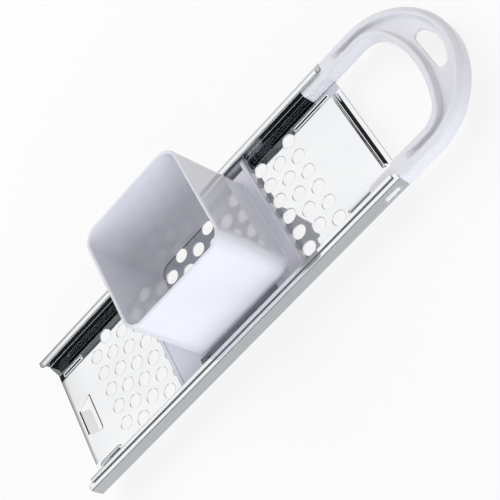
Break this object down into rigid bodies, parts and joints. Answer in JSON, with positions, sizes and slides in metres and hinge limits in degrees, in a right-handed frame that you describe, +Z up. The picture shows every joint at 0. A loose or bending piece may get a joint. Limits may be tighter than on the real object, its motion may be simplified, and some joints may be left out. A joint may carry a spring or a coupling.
{
  "type": "spaetzle maker",
  "caption": "Perforated steel tray laid across a pot, with folded side rails, a loop handle, a bent pot hook and an open hopper that slides along the rails.",
  "frame": {"origin": "centre of the bounding box in plan, at the height of the pot hook's lower edge, with the rails' undersides 8.9 mm above it", "axes": "+X along the tool from the hook end to the handle, +Y across it, +Z up out of the hopper"},
  "size_m": [0.3152, 0.1004, 0.0706],
  "materials": {
    "stainless_steel": "polished",
    "white_plastic": "high gloss"
  },
  "bodies": {
    "frame": {"steel_frame": "stainless_steel", "handle": "white_plastic"},
    "hopper": {"hopper_carriage": "white_plastic"}
  },
  "joints": [
    {"name": "hopper_slide", "type": "slide", "parent": "frame", "child": "hopper", "axis": [1, 0, 0], "range_m": [-0.0543, 0.0323]}
  ]
}
